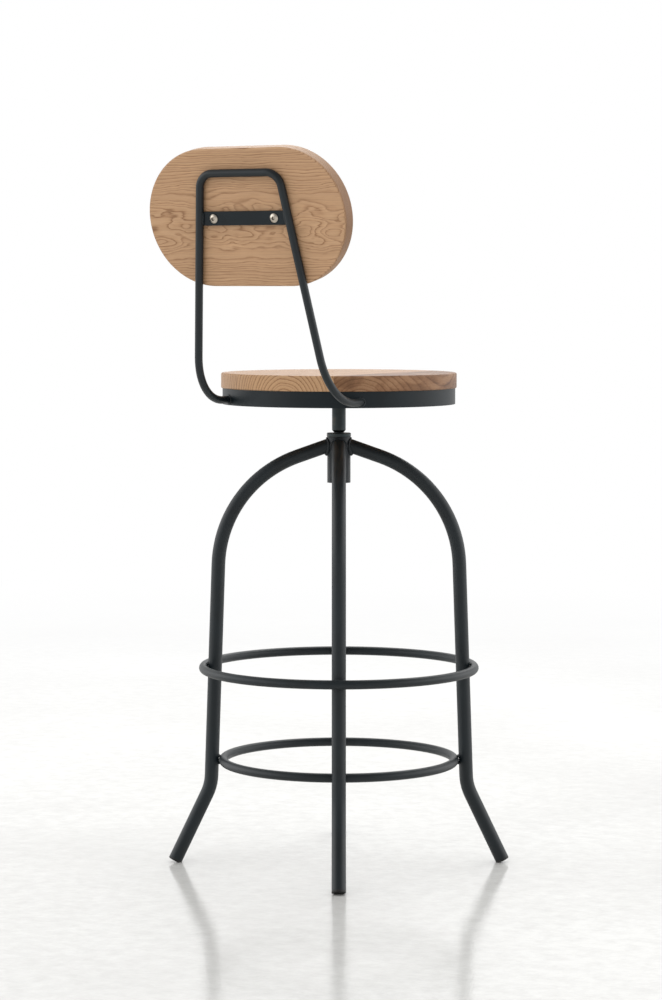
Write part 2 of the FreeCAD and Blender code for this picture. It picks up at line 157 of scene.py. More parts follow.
def powder_coated_steel(name, gloss):
    material, tree, output = new_material(name)
    place = add(tree, "ShaderNodeTexCoord")
    peel = add(tree, "ShaderNodeTexNoise", {"Scale": 1 / PEEL_WIDTH, "Detail": 2.0},
               {"Vector": place.outputs["Object"]})
    cloud = add(tree, "ShaderNodeTexNoise", {"Scale": 1 / COAT_CLOUD_WIDTH, "Detail": 4.0},
                {"Vector": place.outputs["Object"]})
    tone = add(tree, "ShaderNodeValToRGB", None, {"Fac": cloud.outputs["Fac"]})
    set_stops(tone, COAT_TONES)
    facing = add(tree, "ShaderNodeSeparateXYZ", None, {"Vector": place.outputs["Normal"]})
    upward = add(tree, "ShaderNodeMapRange", {"From Min": 0.55, "From Max": 1.0, "To Max": 0.16},
                 {"Value": facing.outputs["Z"]})
    dust = add(tree, "ShaderNodeMath", {"operation": "MULTIPLY"}, {0: upward, 1: cloud.outputs["Fac"]})
    dusty = add(tree, "ShaderNodeMix", {"data_type": "RGBA", 7: colour(DUST_TONE)}, {0: dust, 6: tone})
    rough = add(tree, "ShaderNodeMapRange", {"To Min": 0.4, "To Max": 0.52}, {"Value": cloud.outputs["Fac"]})
    bump = add(tree, "ShaderNodeBump", {"Strength": 0.12, "Distance": PEEL_DEPTH},
               {"Height": peel.outputs["Fac"]})
    coat = add(tree, "ShaderNodeBsdfPrincipled", {"Specular IOR Level": gloss},
               {"Base Color": dusty.outputs[2], "Roughness": rough, "Normal": bump})
    tree.links.new(coat.outputs[0], output.inputs["Surface"])
    return material


black_steel = powder_coated_steel("powder_coated_tube", TUBE_GLOSS)
black_flat_bar = powder_coated_steel("powder_coated_flat_bar", FLAT_BAR_GLOSS)
print("made", black_steel.name, "and", black_flat_bar.name)

# %% [markdown]
# Blackened screw steel
#
# The lifting screw and its nuts are turned steel with an oiled black-oxide finish. It stays metal, so it
# glints where light catches a thread's flank, and the oil film collects brown in patches. The turning
# marks follow the screw's circumference, so bands along the height carry them. Real ones are about 0.3 mm
# apart. They are drawn at 1.2 mm, or they wouldn't show.

# %% Blackened steel
TURNING_MARK = 1.2 * MM
TURNING_MARK_LENGTH = 60 * MM
TURNING_MARK_DEPTH = 0.2 * MM
OIL_PATCH = 14 * MM
OXIDE_TONES = [(0.35, "#2c3335"), (0.55, "#343a3b"), (0.72, "#4d4238")]


def blackened_screw_steel():
    material, tree, output = new_material("blackened_screw_steel")
    place = add(tree, "ShaderNodeTexCoord")
    stretch = add(tree, "ShaderNodeMapping",
                  {"Scale": (1 / TURNING_MARK_LENGTH, 1 / TURNING_MARK_LENGTH, 1 / TURNING_MARK)},
                  {"Vector": place.outputs["Object"]})
    marks = add(tree, "ShaderNodeTexNoise", {"Scale": 1.0, "Detail": 2.0}, {"Vector": stretch})
    patches = add(tree, "ShaderNodeTexNoise", {"Scale": 1 / OIL_PATCH, "Detail": 5.0},
                  {"Vector": place.outputs["Object"]})
    tone = add(tree, "ShaderNodeValToRGB", None, {"Fac": patches.outputs["Fac"]})
    set_stops(tone, OXIDE_TONES)
    rough = add(tree, "ShaderNodeMapRange", {"To Min": 0.28, "To Max": 0.46}, {"Value": marks.outputs["Fac"]})
    bump = add(tree, "ShaderNodeBump", {"Strength": 0.15, "Distance": TURNING_MARK_DEPTH},
               {"Height": marks.outputs["Fac"]})
    steel = add(tree, "ShaderNodeBsdfPrincipled", {"Metallic": 0.75},
                {"Base Color": tone, "Roughness": rough, "Normal": bump})
    tree.links.new(steel.outputs[0], output.inputs["Surface"])
    return material


screw_steel = blackened_screw_steel()
print("made", screw_steel.name)

# %% [markdown]
# Bright zinc screws
#
# The button-head screws are steel with bright zinc plating, a warm silver. A pressed head has fine
# scratches, and its socket is darkened with painted shade. Noise of 0.8 mm gives the plating its slight
# unevenness, and ambient occlusion finds the deep places where that shade is painted.

# %% Zinc plating
PLATING_GRAIN = 0.8 * MM
PLATING_DEPTH = 0.05 * MM
SOCKET_REACH = 4 * MM
ZINC_TONES = [(0.3, "#a79d90"), (0.7, "#d2cabd")]
# Colour of the painted shade in the screw sockets.
SOCKET_PAINTED_SHADE = "#5e564b"


def zinc_plating():
    material, tree, output = new_material("zinc_plated_steel")
    place = add(tree, "ShaderNodeTexCoord")
    grain = add(tree, "ShaderNodeTexNoise", {"Scale": 1 / PLATING_GRAIN, "Detail": 3.0},
                {"Vector": place.outputs["Object"]})
    tone = add(tree, "ShaderNodeValToRGB", None, {"Fac": grain.outputs["Fac"]})
    set_stops(tone, ZINC_TONES)
    rough = add(tree, "ShaderNodeMapRange", {"To Min": 0.22, "To Max": 0.4}, {"Value": grain.outputs["Fac"]})
    bump = add(tree, "ShaderNodeBump", {"Strength": 0.1, "Distance": PLATING_DEPTH},
               {"Height": grain.outputs["Fac"]})
    # Painted shade: ambient occlusion darkens the colour towards the socket tone in the deep places.
    deep = add(tree, "ShaderNodeAmbientOcclusion", {"Distance": SOCKET_REACH, "samples": 8})
    socket_shade_mask = add(tree, "ShaderNodeMapRange", {"From Min": 0.85, "From Max": 0.4, "To Max": 0.8},
                 {"Value": deep.outputs["AO"]})
    socket_shaded_tone = add(tree, "ShaderNodeMix", {"data_type": "RGBA", 7: colour(SOCKET_PAINTED_SHADE)}, {0: socket_shade_mask, 6: tone})
    plating = add(tree, "ShaderNodeBsdfPrincipled", {"Metallic": 1.0},
                  {"Base Color": socket_shaded_tone.outputs[2], "Roughness": rough, "Normal": bump})
    tree.links.new(plating.outputs[0], output.inputs["Surface"])
    return material


zinc = zinc_plating()
print("made", zinc.name)

# %% [markdown]
# Moulded polyethylene caps
#
# The foot caps are injection-moulded polyethylene, dull black and a little waxy. The mould's spark-eroded
# texture is about 0.4 mm. It is drawn at 1 mm. Scuffs from the floor make the lowest few millimetres
# greyer.

# %% Polyethylene
MOULD_GRAIN = 1 * MM
MOULD_DEPTH = 0.1 * MM
SCUFF_HEIGHT = 4 * MM


def moulded_polyethylene():
    material, tree, output = new_material("moulded_polyethylene")
    place = add(tree, "ShaderNodeTexCoord")
    texture = add(tree, "ShaderNodeTexNoise", {"Scale": 1 / MOULD_GRAIN, "Detail": 2.0},
                  {"Vector": place.outputs["Object"]})
    height = add(tree, "ShaderNodeSeparateXYZ", None, {"Vector": place.outputs["Object"]})
    low = add(tree, "ShaderNodeMapRange", {"From Min": SCUFF_HEIGHT, "From Max": 0.0, "To Max": 0.5},
              {"Value": height.outputs["Z"]})
    scuffs = add(tree, "ShaderNodeMath", {"operation": "MULTIPLY"}, {0: low, 1: texture.outputs["Fac"]})
    tone = add(tree, "ShaderNodeMix", {"data_type": "RGBA", 6: colour("#1a1b1b"), 7: colour("#5b5853")},
               {0: scuffs})
    rough = add(tree, "ShaderNodeMapRange", {"To Min": 0.45, "To Max": 0.65},
                {"Value": texture.outputs["Fac"]})
    bump = add(tree, "ShaderNodeBump", {"Strength": 0.15, "Distance": MOULD_DEPTH},
               {"Height": texture.outputs["Fac"]})
    plastic = add(tree, "ShaderNodeBsdfPrincipled", {"IOR": 1.51, "Specular IOR Level": 0.4},
                  {"Base Color": tone.outputs[2], "Roughness": rough, "Normal": bump})
    tree.links.new(plastic.outputs[0], output.inputs["Surface"])
    return material


polyethylene = moulded_polyethylene()
print("made", polyethylene.name)

# %% [markdown]
# Lacquered ash: a board's place in the tree
#
# Seat and backrest are ash, planed, sanded and finished with a satin lacquer. A picture of planks would
# repeat, and it would not match at the edges. So the wood is modelled as it grew: rings are nested tubes
# round the tree's centre line, and every surface just cuts through them. A face along the grain then
# shows long lines and arches, and an edge across the grain shows the arcs of the rings. The first step
# gives every point its place in the board, in millimetres. A glued-up seat is several staves, and each
# was cut from another place in a trunk, so each has its own centre line.

# %% Board axes and staves
STAVES_APART_MM = 1000.0
STAVE_SPREAD = 0.45


def board_axes(tree, turn, origin):
    """Place and normal in a board's own axes: X along the grain, Y across it and Z through the board."""
    place = add(tree, "ShaderNodeTexCoord")
    in_mm = 1 / MM
    shift = -(turn.to_matrix() @ Vector(origin)) * in_mm
    board = add(tree, "ShaderNodeMapping",
                {"Location": shift, "Rotation": turn, "Scale": (in_mm, in_mm, in_mm)},
                {"Vector": place.outputs["Object"]})
    own_normal = add(tree, "ShaderNodeMapping", {"vector_type": "NORMAL", "Rotation": turn},
                     {"Vector": place.outputs["Normal"]})
    axes = add(tree, "ShaderNodeSeparateXYZ", None, {"Vector": board})
    facing = add(tree, "ShaderNodeSeparateXYZ", None, {"Vector": own_normal})
    return axes, facing


def stave_axes(tree, axes, stave_mm, centre_across_mm, centre_depth_mm):
    """Number of the stave, share of its width, and distances from its tree's centre line."""
    share = add(tree, "ShaderNodeMath", {"operation": "DIVIDE", 1: stave_mm}, {0: axes.outputs["Y"]})
    number = add(tree, "ShaderNodeMath", {"operation": "ROUND"}, {0: share})
    within = add(tree, "ShaderNodeMath", {"operation": "SUBTRACT"}, {0: share, 1: number})
    across = add(tree, "ShaderNodeMath", {"operation": "MULTIPLY", 1: stave_mm}, {0: within})
    luck = add(tree, "ShaderNodeTexWhiteNoise", {"noise_dimensions": "1D"}, {"W": number})
    luck_parts = add(tree, "ShaderNodeSeparateColor", None, {"Color": luck.outputs["Color"]})
    apart = add(tree, "ShaderNodeMath", {"operation": "MULTIPLY", 1: STAVES_APART_MM}, {0: number})
    along = add(tree, "ShaderNodeMath", {"operation": "ADD"}, {0: axes.outputs["X"], 1: apart})
    sideways = add(tree, "ShaderNodeMapRange",
                   {"To Min": -STAVE_SPREAD * stave_mm, "To Max": STAVE_SPREAD * stave_mm},
                   {"Value": luck_parts.outputs["Red"]})
    is_first = add(tree, "ShaderNodeMath", {"operation": "COMPARE", 1: 0.0, 2: 0.5}, {0: number})
    centre = add(tree, "ShaderNodeMix", {"data_type": "FLOAT", 3: centre_across_mm},
                 {0: is_first, 2: sideways})
    from_centre = add(tree, "ShaderNodeMath", {"operation": "SUBTRACT"}, {0: across, 1: centre.outputs[0]})
    depth = add(tree, "ShaderNodeMath", {"operation": "SUBTRACT", 1: centre_depth_mm}, {0: axes.outputs["Z"]})
    trunk = add(tree, "ShaderNodeCombineXYZ", None, {"X": along, "Y": from_centre, "Z": depth})
    return number, within, from_centre, depth, trunk


print("board axes ready")

# %% [markdown]
# Lacquered ash: growth rings
#
# A tree bends and swells, so its rings are not round tubes. Slow noise, long along the grain, pushes them
# about: most near the centre line, where it makes the closed loops of the figure. Fine fibres feather
# each ring's edge, and good and bad years make some rings wider than others.

# %% Growth rings
# Size of each noise in millimetres along, across and through the trunk.
# Pores and fibres are really 0.3 mm wide and are drawn at 1.1 mm, or they wouldn't show.
GRAIN_NOISE = {
    "bend": ((75, 34, 60), {"Detail": 2.0, "Roughness": 0.45}),
    "ripple": ((46, 14, 30), {"Detail": 2.0}),
    "fibre": ((60, 1.1, 1.1), {"Detail": 3.0}),
    "pores": ((14, 1.1, 1.1), {"Detail": 2.0}),
    "cloud": ((160, 45, 45), {"Detail": 2.0}),
    "heart": ((60, 22, 16), {"Detail": 3.0, "Distortion": 0.6}),
}
RIPPLE_SHARE = 0.14
FEATHER_SHARE = 0.24
WEATHER_SHARE = 0.8


def grain_noises(tree, trunk):
    """Every noise of the wood, stretched in the tree's own directions."""
    noises = {}
    for word, (size, settings) in GRAIN_NOISE.items():
        scaled = add(tree, "ShaderNodeVectorMath", {"operation": "DIVIDE", 1: size}, {0: trunk})
        noise = add(tree, "ShaderNodeTexNoise", {"Scale": 1.0, **settings}, {"Vector": scaled})
        noises[word] = noise.outputs["Fac"]
    return noises


def growth_years(tree, noises, from_centre, depth, ring_mm, wander_mm):
    """Years counted outward from the tree's centre line."""
    from_heart = add(tree, "ShaderNodeMath", {"operation": "ABSOLUTE"}, {0: from_centre})
    calm = add(tree, "ShaderNodeMapRange", {"From Min": 15.0, "From Max": 60.0, "To Min": 1.0, "To Max": 0.3},
               {"Value": from_heart})
    bend_full = add(tree, "ShaderNodeMapRange", {"To Min": -wander_mm, "To Max": wander_mm},
                    {"Value": noises["bend"]})
    bend = add(tree, "ShaderNodeMath", {"operation": "MULTIPLY"}, {0: bend_full, 1: calm})
    ripple_mm = RIPPLE_SHARE * wander_mm
    ripple = add(tree, "ShaderNodeMapRange", {"To Min": -ripple_mm, "To Max": ripple_mm},
                 {"Value": noises["ripple"]})
    feather_mm = FEATHER_SHARE * ring_mm
    feather = add(tree, "ShaderNodeMapRange", {"To Min": -feather_mm, "To Max": feather_mm},
                  {"Value": noises["fibre"]})
    flat = add(tree, "ShaderNodeCombineXYZ", None, {"X": from_centre, "Y": depth})
    radius = add(tree, "ShaderNodeVectorMath", {"operation": "LENGTH"}, {0: flat})
    grown = radius.outputs["Value"]
    for push in (bend, ripple, feather):
        grown = add(tree, "ShaderNodeMath", {"operation": "ADD"}, {0: grown, 1: push})
    even_years = add(tree, "ShaderNodeMath", {"operation": "DIVIDE", 1: ring_mm}, {0: grown})
    weather = add(tree, "ShaderNodeTexNoise", {"noise_dimensions": "1D", "Scale": 0.3, "Detail": 1.0},
                  {"W": even_years})
    good_years = add(tree, "ShaderNodeMapRange", {"To Min": -WEATHER_SHARE, "To Max": WEATHER_SHARE},
                     {"Value": weather.outputs["Fac"]})
    return add(tree, "ShaderNodeMath", {"operation": "ADD"}, {0: even_years, 1: good_years})


print("growth rings ready")

# %% [markdown]
# Lacquered ash: colour
#
# Each ring starts with a band of open pores, dark and sharp on one side, which fades into smooth pale
# wood. Some years are fainter than others. The pores are short dashes along the grain. One stave of the
# seat is darker, redder heartwood with a cloudy figure, and end grain drinks more lacquer, so it is
# darker too.

# %% Ring and pore colour
RING_TONES = [(0.0, "#b18a66"), (0.08, "#7d593d"), (0.17, "#a17a59"), (0.34, "#b9936f"), (0.9, "#c29d7a"),
              (1.0, "#b18a66")]
PALE_WOOD = "#b89270"
PORE_TONE = "#8a6345"
FAINT_YEAR = 0.45
HEART_FADE = 0.35


def ring_colour(tree, noises, years, is_heart, lines):
    """Colour of the rings with their pores, and how open the pores are."""
    season = add(tree, "ShaderNodeMath", {"operation": "FRACT"}, {0: years})
    ring = add(tree, "ShaderNodeValToRGB", None, {"Fac": season})
    set_stops(ring, RING_TONES)
    year_number = add(tree, "ShaderNodeMath", {"operation": "FLOOR"}, {0: years})
    year_luck = add(tree, "ShaderNodeTexWhiteNoise", {"noise_dimensions": "1D"}, {"W": year_number})
    year_strength = add(tree, "ShaderNodeMapRange", {"To Min": FAINT_YEAR * lines, "To Max": lines},
                        {"Value": year_luck.outputs["Value"]})
    even_heart = add(tree, "ShaderNodeMath", {"operation": "MULTIPLY_ADD", 1: -HEART_FADE, 2: 1.0},
                     {0: is_heart})
    strength = add(tree, "ShaderNodeMath", {"operation": "MULTIPLY"}, {0: year_strength, 1: even_heart})
    lined = add(tree, "ShaderNodeMix", {"data_type": "RGBA", 6: colour(PALE_WOOD)}, {0: strength, 7: ring})
    dashes = add(tree, "ShaderNodeMapRange", {"From Min": 0.52, "From Max": 0.68, "To Max": 0.5},
                 {"Value": noises["pores"]})
    early = add(tree, "ShaderNodeMapRange",
                {"From Min": 0.55, "From Max": 0.0, "To Min": 0.25, "To Max": 1.0},
                {"Value": season})
    pores = add(tree, "ShaderNodeMath", {"operation": "MULTIPLY"}, {0: dashes, 1: early})
    pored = add(tree, "ShaderNodeMix", {"data_type": "RGBA", 7: colour(PORE_TONE)},
                {0: pores, 6: lined.outputs[2]})
    return pored.outputs[2], pores


print("ring colours ready")

# %% Board colour
HEART_TONES = [(0.38, "#ab9b8f"), (0.5, "#bfb0a6"), (0.62, "#d5cbc5")]
GLUE_TONE = "#6b4a30"
GLUE_LINE_MM = 0.7
END_SHARPNESS = 2.0


def board_colour(tree, noises, rings, is_heart, within, facing, stave_mm, end_code):
    """Ring colour with slow changes over the board, heartwood, end grain and glue lines."""
    lightness = add(tree, "ShaderNodeMapRange", {"To Min": 0.9, "To Max": 1.1}, {"Value": noises["cloud"]})
    streak = add(tree, "ShaderNodeMapRange", {"To Min": 0.78, "To Max": 1.22}, {"Value": noises["fibre"]})
    light = add(tree, "ShaderNodeMath", {"operation": "MULTIPLY"}, {0: lightness, 1: streak})
    shaded = add(tree, "ShaderNodeVectorMath", {"operation": "SCALE"}, {0: rings, "Scale": light})
    heart_tone = add(tree, "ShaderNodeValToRGB", None, {"Fac": noises["heart"]})
    set_stops(heart_tone, HEART_TONES)
    heartwood = add(tree, "ShaderNodeMix", {"data_type": "RGBA", 6: WHITE}, {0: is_heart, 7: heart_tone})
    hearted = add(tree, "ShaderNodeVectorMath", {"operation": "MULTIPLY"},
                  {0: shaded, 1: heartwood.outputs[2]})
    end_share = add(tree, "ShaderNodeMath", {"operation": "POWER", 1: END_SHARPNESS},
                    {0: facing.outputs["X"]})
    end_tone = add(tree, "ShaderNodeMix", {"data_type": "RGBA", 6: WHITE, 7: colour(end_code)},
                   {0: end_share})
    ended = add(tree, "ShaderNodeVectorMath", {"operation": "MULTIPLY"}, {0: hearted, 1: end_tone.outputs[2]})
    edge = add(tree, "ShaderNodeMath", {"operation": "ABSOLUTE"}, {0: within})
    line = add(tree, "ShaderNodeMapRange",
               {"From Min": 0.5 - GLUE_LINE_MM / stave_mm, "From Max": 0.5, "To Max": 0.6},
               {"Value": edge})
    glued = add(tree, "ShaderNodeMix", {"data_type": "RGBA", 7: colour(GLUE_TONE)}, {0: line, 6: ended})
    return glued.outputs[2]


print("board colours ready")

# %% [markdown]
# Lacquered ash: the finish
#
# Lacquer fills most of each pore, so the surface keeps a shallow grain, and the pores stay duller than
# the rest. A satin lacquer is a thin clear coat over the wood's own soft shine.

# %% Ash
PORE_DEPTH = 0.12 * MM


def lacquered_ash(name, turn, origin, ring_mm, centre_depth_mm, centre_across_mm, wander_mm, stave_mm,
                  end_code, lines):
    """Ash for one board: how it lies, where it was cut from the tree, how dark its end grain is and how
    strong its ring lines are."""
    material, tree, output = new_material(name)
    axes, facing = board_axes(tree, turn, origin)
    number, within, from_centre, depth, trunk = stave_axes(
        tree, axes, stave_mm, centre_across_mm, centre_depth_mm)
    noises = grain_noises(tree, trunk)
    years = growth_years(tree, noises, from_centre, depth, ring_mm, wander_mm)
    is_heart = add(tree, "ShaderNodeMath", {"operation": "GREATER_THAN", 1: 0.5}, {0: number})
    rings, pores = ring_colour(tree, noises, years, is_heart, lines)
    surface = board_colour(tree, noises, rings, is_heart, within, facing, stave_mm, end_code)
    rough = add(tree, "ShaderNodeMapRange", {"To Min": 0.5, "To Max": 0.62}, {"Value": pores})
    bump = add(tree, "ShaderNodeBump", {"Strength": 0.12, "Distance": PORE_DEPTH, "invert": True},
               {"Height": pores})
    lacquer = {"IOR": 1.5, "Specular IOR Level": 0.3, "Coat Weight": 0.06, "Coat Roughness": 0.35}
    wood = add(tree, "ShaderNodeBsdfPrincipled", lacquer,
               {"Base Color": surface, "Roughness": rough, "Normal": bump})
    tree.links.new(wood.outputs[0], output.inputs["Surface"])
    return material


print("ash wood ready")

# %% [markdown]
# One ash for each board
#
# The backrest is one wide flat-sawn board with its grain across the stool. The tree's centre line lies
# behind the visible face, a little below the middle, which is where the arches and closed loops of the
# figure come from. The seat is glued from staves that run from front to back, so its rim shows ring arcs
# towards the back.

# %% Backrest and seat wood
RECLINE = math.radians(11.7)
ARM_HEIGHT = 677.7 * MM
ELBOW_BACK = 212 * MM
UPRIGHT_RISE = 314.5 * MM
CROSSBAR_BELOW_TOP = 62.6 * MM
CROSSBAR_CENTRE = Vector((
    0,
    ELBOW_BACK + UPRIGHT_RISE * math.tan(RECLINE) - CROSSBAR_BELOW_TOP * math.sin(RECLINE),
    ARM_HEIGHT + UPRIGHT_RISE - CROSSBAR_BELOW_TOP * math.cos(RECLINE),
))
BACKREST_TURN = Matrix.Rotation(-(math.pi / 2 - RECLINE), 3, "X").to_euler()
SEAT_TURN = Matrix.Rotation(-math.pi / 2, 3, "Z").to_euler()
seat_low, seat_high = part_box("seat_panel")
SEAT_ORIGIN = Vector((2.4 * MM, 0, seat_low.z))

backrest_ash = lacquered_ash(
    "ash_backrest", BACKREST_TURN, CROSSBAR_CENTRE, ring_mm=2.2, centre_depth_mm=100.0,
    centre_across_mm=-12.0, wander_mm=10.0, stave_mm=900.0, end_code="#c3b8ae", lines=0.92)
seat_ash = lacquered_ash(
    "ash_seat", SEAT_TURN, SEAT_ORIGIN, ring_mm=5.0, centre_depth_mm=-12.0,
    centre_across_mm=10.4, wander_mm=4.0, stave_mm=160.0, end_code="#f9f7f0", lines=1.35)
print("seat board from", round(seat_low.z, 4), "to", round(seat_high.z, 4))

# %% [markdown]
# Dressing the pieces
#
# The pieces keep their shapes, which are right as they are. Each one only gets its material, chosen by
# its name.

# %% Give each piece its material
FINISHES = {
    "seat_panel": seat_ash,
    "backrest": backrest_ash,
    "foot_cap": polyethylene,
    "spindle": screw_steel,
    "upper_nut": screw_steel,
    "lower_nut": screw_steel,
    "stop_washer": screw_steel,
    "stop_screw": zinc,
    "seat_screws": zinc,
    "backrest_screws": zinc,
    "backrest_inserts": zinc,
    "seat_hoop": black_flat_bar,
    "seat_bar": black_flat_bar,
    "back_crossbar": black_flat_bar,
}

for node_name, node in nodes.items():
    finish = black_steel
    for start, material in FINISHES.items():
        if node_name.startswith(start):
            finish = material
    node.data.materials.clear()
    node.data.materials.append(finish)
print("dressed", len(nodes), "pieces")

# %% [markdown]
# Welds
#
# Steel pieces meet in fillet welds. A hand weld is a row of overlapping puddles, so its bead swells and
# narrows every two millimetres or so. Each bead here is a swept tube: a path along the joint, a round
# section, and a ripple in the section's radius. A curve object with a bevel would give the tube but not
# the ripple, so the rings of points are placed directly.

# %% Bead maker
PUDDLE = 2.2 * MM
BEAD_SIDES = 12
RIPPLE = 0.12


def weld_bead(name, path, radii, outward, closed, body):
    """Rippled tube along a path. Outward gives each point's direction away from the joint."""
    shape = bmesh.new()
    rings = []
    travelled = 0.0
    count = len(path)
    for index, point in enumerate(path):
        after = path[(index + 1) % count] if closed or index < count - 1 else point
        before = path[index - 1] if closed or index > 0 else point
        heading = (after - before).normalized()
        if index:
            travelled += (point - path[index - 1]).length
        side = outward[index] - heading * outward[index].dot(heading)
        side.normalize()
        other = heading.cross(side)
        reach = radii[index] * (1 + RIPPLE * math.sin(math.tau * travelled / PUDDLE))
        ring = []
        for step in range(BEAD_SIDES):
            turn = math.tau * step / BEAD_SIDES
            ring.append(shape.verts.new(point + (side * math.cos(turn) + other * math.sin(turn)) * reach))
        rings.append(ring)
    spans = list(zip(rings, rings[1:]))
    if closed:
        spans.append((rings[-1], rings[0]))
    else:
        shape.faces.new(list(reversed(rings[0])))
        shape.faces.new(rings[-1])
    for first, second in spans:
        for step in range(BEAD_SIDES):
            following = (step + 1) % BEAD_SIDES
            shape.faces.new((first[step], first[following], second[following], second[step]))
    bmesh.ops.recalc_face_normals(shape, faces=shape.faces)
    for face in shape.faces:
        face.smooth = True
    mesh = bpy.data.meshes.new(name)
    shape.to_mesh(mesh)
    shape.free()
    mesh.materials.append(black_steel)
    bead = bpy.data.objects.new(name, mesh)
    bpy.context.scene.collection.objects.link(bead)
    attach(bead, body)
    return bead


print("bead maker ready")

# %% [markdown]
# Welds of the legs
#
# Each leg is coped to the hub, and the bead follows the saddle-shaped line where the two cylinders meet.
# It is fuller underneath, where the welder had room. The bead's middle is half a millimetre off the
# joint's corner, so that it fills the corner and doesn't stand on it.

# %% Leg welds
LEG_COUNT = 4
LEG_TURN = math.radians(29.4)
LEG_RADIUS = 10 * MM
LEG_SLOPE = math.radians(19.5)
LEG_ROOT_HEIGHT = 614.5 * MM
HUB_RADIUS = 16.85 * MM
UP = Vector((0, 0, 1))
SADDLE_STEPS = 144
SADDLE_BEAD = 2.3 * MM
SADDLE_EXTRA_BELOW = 0.9 * MM
SADDLE_OFFSET = 0.5 * MM


def around_leg(index):
    """Directions outward from the stool's axis and sideways, for one leg."""
    turn = LEG_TURN + index * math.tau / LEG_COUNT
    return Vector((math.cos(turn), math.sin(turn), 0)), Vector((-math.sin(turn), math.cos(turn), 0))


def saddle_weld(index):
    out, aside = around_leg(index)
    path, radii, outward = [], [], []
    for step in range(SADDLE_STEPS):
        angle = math.tau * step / SADDLE_STEPS
        sideways = LEG_RADIUS * math.cos(angle)
        lift = LEG_RADIUS * math.sin(angle)
        reach = math.sqrt(HUB_RADIUS ** 2 - sideways ** 2)
        along = (reach - lift * math.sin(LEG_SLOPE)) / math.cos(LEG_SLOPE)
        height = LEG_ROOT_HEIGHT - along * math.sin(LEG_SLOPE) + lift * math.cos(LEG_SLOPE)
        away = aside * math.cos(angle) + UP * math.sin(angle)
        corner = out * reach + aside * sideways + UP * height
        path.append(corner + (away + out) * SADDLE_OFFSET)
        radii.append(SADDLE_BEAD - SADDLE_EXTRA_BELOW * math.sin(angle))
        outward.append(away + out)
    return weld_bead(f"leg_weld_{index + 1}", path, radii, outward, True, "base")


for index in range(LEG_COUNT):
    saddle_weld(index)
print("leg welds:", LEG_COUNT)

# %% [markdown]
# Welds of the rings
#
# The rings only touch the legs: the footrest from outside and the brace from inside. Each crossing has
# one short bead above and one below, thin at its ends, where the welder started and stopped.

# %% Ring welds
LEG_LEAN = math.radians(2.0)
ANKLE_RADIUS = 186 * MM
ANKLE_HEIGHT = 114 * MM
RING_RADIUS = 6.5 * MM
SHORT_STEPS = 40
RING_BEAD = 1.9 * MM
RING_BEAD_HALF_LENGTH = 0.55 * LEG_RADIUS
RING_BEAD_OFFSET = 0.7 * MM
RING_BEAD_RISE = 0.78 * RING_RADIUS
BEAD_END = 0.06


def ring_weld(name, index, height, side, above):
    out, aside = around_leg(index)
    leg_middle = ANKLE_RADIUS - (height - ANKLE_HEIGHT) * math.tan(LEG_LEAN)
    path, radii, outward = [], [], []
    for step in range(SHORT_STEPS + 1):
        share = 2 * step / SHORT_STEPS - 1
        sideways = share * RING_BEAD_HALF_LENGTH
        reach = math.sqrt(LEG_RADIUS ** 2 - sideways ** 2) + RING_BEAD_OFFSET
        rise = height + above * RING_BEAD_RISE
        path.append(out * (leg_middle + side * reach) + aside * sideways + UP * rise)
        radii.append(RING_BEAD * math.sqrt(max(BEAD_END, 1 - share ** 4)))
        outward.append(out * side + UP * above)
    return weld_bead(name, path, radii, outward, False, "base")


footrest_low, footrest_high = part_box("footrest_ring")
brace_low, brace_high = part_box("brace_ring")
footrest_height = (footrest_low.z + footrest_high.z) / 2
brace_height = (brace_low.z + brace_high.z) / 2
for index in range(LEG_COUNT):
    for above, word in ((1, "over"), (-1, "under")):
        ring_weld(f"footrest_weld_{word}_{index + 1}", index, footrest_height, 1, above)
        ring_weld(f"brace_weld_{word}_{index + 1}", index, brace_height, -1, above)
print("ring welds:", LEG_COUNT * 4, "at", round(footrest_height, 3), "and", round(brace_height, 3))

# %% [markdown]
# Welds of the back frame
#
# The rod's two ends are coped to the outside of the hoop, with a bead all round. The flat crossbar is
# welded to the uprights along its short ends, and the uprights spread towards the seat, so the beads
# follow that spread.

# %% Back frame welds
HOOP_RADIUS = 168 * MM
ROD_RADIUS = 5.5 * MM
ARM_HALF_SPACING = 106.4 * MM
ARM_BEAD = 1.5 * MM
ARM_BEAD_OFFSET = 0.3 * MM
TOP_HALF_SPACING = 62 * MM
UPRIGHT_LENGTH = UPRIGHT_RISE / math.cos(RECLINE)
CROSSBAR_HALF_HEIGHT = 9.5 * MM
CROSSBAR_BEAD = 1.4 * MM
CROSSBAR_BEAD_SHARE = 0.94
CROSSBAR_BEAD_GAP = 0.3 * MM
CROSSBAR_BEAD_DEPTH = 0.5 * MM


def arm_weld(side, word):
    back = math.sqrt(HOOP_RADIUS ** 2 - ARM_HALF_SPACING ** 2)
    middle = Vector((side * ARM_HALF_SPACING, back, ARM_HEIGHT))
    path, radii, outward = [], [], []
    for step in range(SADDLE_STEPS):
        angle = math.tau * step / SADDLE_STEPS
        x = middle.x + ROD_RADIUS * math.cos(angle)
        z = middle.z + ROD_RADIUS * math.sin(angle)
        away = Vector((math.cos(angle), 0.5, math.sin(angle)))
        path.append(Vector((x, math.sqrt(HOOP_RADIUS ** 2 - x ** 2), z)) + away * ARM_BEAD_OFFSET)
        radii.append(ARM_BEAD)
        outward.append(away)
    return weld_bead(f"arm_weld_{word}", path, radii, outward, True, "seat")


